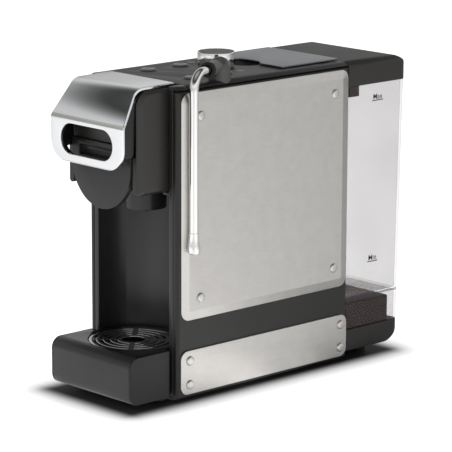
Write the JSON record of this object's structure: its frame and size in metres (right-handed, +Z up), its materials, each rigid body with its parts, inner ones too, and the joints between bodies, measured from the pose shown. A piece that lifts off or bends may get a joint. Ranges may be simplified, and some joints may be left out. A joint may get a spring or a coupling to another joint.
{
  "type": "pod coffee machine",
  "caption": "Slim pod coffee machine with a lift lever head, cup bay with drip tray, swing-out steam wand, top controls and a clear water tank behind.",
  "frame": {"origin": "middle of the underside of the front rubber foot, on the table, below the spout", "axes": "+Z up; -Y towards the user, the side the lever and tray face; +X towards the steam wand's side"},
  "size_m": [0.1392, 0.3536, 0.3128],
  "materials": {
    "shell_plastic": "satin",
    "fascia_plastic": "semi-gloss",
    "cover_plastic": "satin",
    "head_plastic": "satin",
    "core_plastic": "matt",
    "lid_plastic": "satin",
    "dock_plastic": "satin",
    "tray_plastic": "satin",
    "deck_gloss": "gloss",
    "grid_metal": "metallic satin",
    "panel_steel": "fine brushed",
    "lever_steel": "polished sheet",
    "carrier_plastic": "satin",
    "screw_steel": "bright",
    "knob_chrome": "polished",
    "knob_plastic": "satin",
    "button_plastic": "satin",
    "wand_plastic": "satin",
    "wand_rubber": "matt",
    "wand_chrome": "polished",
    "valve_brass": "turned",
    "tank_clear": "clear",
    "fitting_plastic": "natural",
    "foot_rubber": "matt",
    "board_laminate": "satin",
    "pump_metal": "satin",
    "heater_metal": "cast",
    "frame_metal": "plain",
    "hose_rubber": "smooth",
    "pipe_metal": "drawn",
    "spout_plastic": "satin",
    "piston_plastic": "satin"
  },
  "bodies": {
    "machine": {"left_shell": "shell_plastic", "right_shell": "shell_plastic", "base_pan": "shell_plastic", "rear_wall": "shell_plastic", "front_fascia": "fascia_plastic", "top_cover": "cover_plastic", "left_cheek": "head_plastic", "right_cheek": "head_plastic", "head_front_cover": "head_plastic", "head_core": "core_plastic", "tank_dock": "dock_plastic", "left_main_panel": "panel_steel", "right_main_panel": "panel_steel", "left_lower_plate": "panel_steel", "right_lower_plate": "panel_steel", "panel_screws": "screw_steel", "wand_turret": "wand_plastic", "wand_collar": "wand_rubber", "steam_valve": "valve_brass", "tank_coupling": "fitting_plastic", "flow_meter": "fitting_plastic", "front_foot": "foot_rubber", "rear_foot": "foot_rubber", "cord_gland": "foot_rubber", "pump_mounts": "foot_rubber", "control_board": "board_laminate", "button_board": "board_laminate", "water_pump": "pump_metal", "water_heater": "heater_metal", "frame_plate": "frame_metal", "heater_bracket": "frame_metal", "water_hoses": "hose_rubber", "brew_pipe": "pipe_metal", "steam_pipes": "pipe_metal"},
    "lever": {"lever_sheet": "lever_steel", "lever_carrier": "carrier_plastic", "lever_pin": "screw_steel"},
    "piston": {"pod_piston": "piston_plastic"},
    "pod_drawer": {"pod_holder": "head_plastic", "coffee_nozzle": "spout_plastic"},
    "front_left_button": {"button_front_left": "button_plastic"},
    "front_right_button": {"button_front_right": "button_plastic"},
    "rear_left_button": {"button_rear_left": "button_plastic"},
    "rear_right_button": {"button_rear_right": "button_plastic"},
    "steam_knob": {"knob_ring": "knob_chrome", "knob_cap": "knob_plastic", "valve_stem": "valve_brass"},
    "wand": {"steam_wand": "wand_chrome", "wand_tip": "wand_chrome"},
    "tray": {"drip_tray": "tray_plastic", "left_tray_cap": "tray_plastic", "right_tray_cap": "tray_plastic", "tray_deck": "deck_gloss"},
    "grid": {"drip_grid": "grid_metal"},
    "tank": {"water_tank": "tank_clear", "tank_valve": "fitting_plastic"},
    "lid": {"tank_lid": "lid_plastic"},
    "cup_plate": {"top_plate": "panel_steel"}
  },
  "joints": [
    {"name": "lever_hinge", "type": "hinge", "parent": "machine", "child": "lever", "pos_m": [0, 0.005, 0.287], "axis": [-1, 0, 0], "range_deg": [0, 75]},
    {"name": "piston_slide", "type": "slide", "parent": "machine", "child": "piston", "axis": [0, 0, 1], "range_m": [0, 0.012]},
    {"name": "drawer_slide", "type": "slide", "parent": "machine", "child": "pod_drawer", "axis": [0, -1, 0], "range_m": [0, 0.045]},
    {"name": "front_left_press", "type": "slide", "parent": "machine", "child": "front_left_button", "axis": [0, 0, -1], "range_m": [0, 0.0012], "stiffness_N_per_m": 400},
    {"name": "front_right_press", "type": "slide", "parent": "machine", "child": "front_right_button", "axis": [0, 0, -1], "range_m": [0, 0.0012], "stiffness_N_per_m": 400},
    {"name": "rear_left_press", "type": "slide", "parent": "machine", "child": "rear_left_button", "axis": [0, 0, -1], "range_m": [0, 0.0012], "stiffness_N_per_m": 400},
    {"name": "rear_right_press", "type": "slide", "parent": "machine", "child": "rear_right_button", "axis": [0, 0, -1], "range_m": [0, 0.0012], "stiffness_N_per_m": 400},
    {"name": "steam_knob_turn", "type": "hinge", "parent": "machine", "child": "steam_knob", "pos_m": [0, 0.1035, 0.3], "axis": [0, 0, 1], "range_deg": [0, 270]},
    {"name": "wand_swing", "type": "hinge", "parent": "machine", "child": "wand", "pos_m": [0.0579, 0.0397, 0.304], "axis": [0.3746, -0.9272, 0], "range_deg": [0, 60]},
    {"name": "tray_slide", "type": "slide", "parent": "machine", "child": "tray", "axis": [0, -1, 0], "range_m": [0, 0.07]},
    {"name": "grid_lift", "type": "slide", "parent": "tray", "child": "grid", "axis": [0, 0, 1], "range_m": [0, 0.025]},
    {"name": "tank_lift", "type": "slide", "parent": "machine", "child": "tank", "axis": [0, 0, 1], "range_m": [0, 0.08]},
    {"name": "lid_lift", "type": "slide", "parent": "tank", "child": "lid", "axis": [0, 0, 1], "range_m": [0, 0.06]},
    {"name": "cup_plate_lift", "type": "slide", "parent": "machine", "child": "cup_plate", "axis": [0, 0, 1], "range_m": [0, 0.025]}
  ],
  "couplings": [
    {"joint": "piston_slide", "follows": "lever_hinge", "m_per_rad": 0.009091},
    {"joint": "drawer_slide", "follows": "lever_hinge", "m_per_rad": 0.034301}
  ]
}
